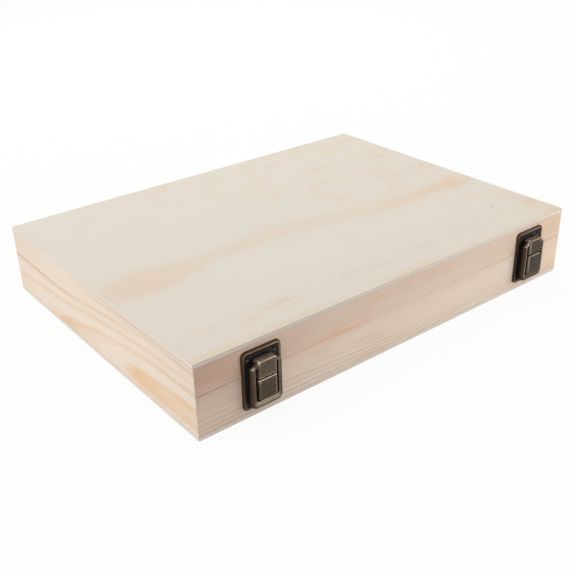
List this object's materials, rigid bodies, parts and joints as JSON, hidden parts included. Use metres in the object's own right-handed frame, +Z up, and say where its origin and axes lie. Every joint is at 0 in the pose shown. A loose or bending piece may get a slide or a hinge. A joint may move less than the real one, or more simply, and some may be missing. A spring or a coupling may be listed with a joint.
{
  "type": "wooden box",
  "caption": "Shallow rectangular wooden box with a lid on butt hinges and draw latches on the front, for brushes or sewing tools.",
  "frame": {"origin": "middle of the box's underside", "axes": "+X along the latch side to the right, +Y from the latches to the hinges, +Z up"},
  "size_m": [0.35, 0.2712, 0.055],
  "materials": {
    "pine": "bare softwood, sanded, unfinished",
    "plywood": "bare pale plywood, sanded, unfinished",
    "antique_brass": "antique brass plating, dark in the recesses and worn bright on the edges"
  },
  "bodies": {
    "box": {"base_panel": "plywood", "box_front_wall": "pine", "box_right_wall": "pine", "box_back_wall": "pine", "box_left_wall": "pine", "latch_box_nails": "antique_brass", "hinge_box_nails": "antique_brass", "left_base_plate": "antique_brass", "left_lever_pin": "antique_brass", "left_hinge_box_leaf": "antique_brass", "left_hinge_pin": "antique_brass", "right_base_plate": "antique_brass", "right_lever_pin": "antique_brass", "right_hinge_box_leaf": "antique_brass", "right_hinge_pin": "antique_brass"},
    "lid": {"lid_panel": "plywood", "lid_front_rail": "pine", "lid_right_rail": "pine", "lid_back_rail": "pine", "lid_left_rail": "pine", "latch_lid_nails": "antique_brass", "hinge_lid_nails": "antique_brass", "left_strike_plate": "antique_brass", "left_hinge_lid_leaf": "antique_brass", "right_strike_plate": "antique_brass", "right_hinge_lid_leaf": "antique_brass"},
    "left_lever": {"left_lever": "antique_brass"},
    "left_hook_frame": {"left_hook_frame": "antique_brass", "left_frame_pin": "antique_brass"},
    "right_lever": {"right_lever": "antique_brass"},
    "right_hook_frame": {"right_hook_frame": "antique_brass", "right_frame_pin": "antique_brass"}
  },
  "joints": [
    {"name": "lid_hinge", "type": "hinge", "parent": "box", "child": "lid", "pos_m": [0, 0.13175, 0.032], "axis": [-1, 0, 0], "range_deg": [0, 180]},
    {"name": "left_lever_pivot", "type": "hinge", "parent": "box", "child": "left_lever", "pos_m": [-0.127, -0.1342, 0.0283], "axis": [-1, 0, 0], "range_deg": [0, 70]},
    {"name": "left_frame_pivot", "type": "hinge", "parent": "left_lever", "child": "left_hook_frame", "pos_m": [-0.127, -0.1342, 0.0167], "axis": [-1, 0, 0], "range_deg": [-56, 0]},
    {"name": "right_lever_pivot", "type": "hinge", "parent": "box", "child": "right_lever", "pos_m": [0.134, -0.1342, 0.0283], "axis": [-1, 0, 0], "range_deg": [0, 70]},
    {"name": "right_frame_pivot", "type": "hinge", "parent": "right_lever", "child": "right_hook_frame", "pos_m": [0.134, -0.1342, 0.0167], "axis": [-1, 0, 0], "range_deg": [-56, 0]}
  ],
  "couplings": [
    {"joint": "left_frame_pivot", "follows": "left_lever_pivot", "ratio": -0.8},
    {"joint": "right_frame_pivot", "follows": "right_lever_pivot", "ratio": -0.8}
  ]
}
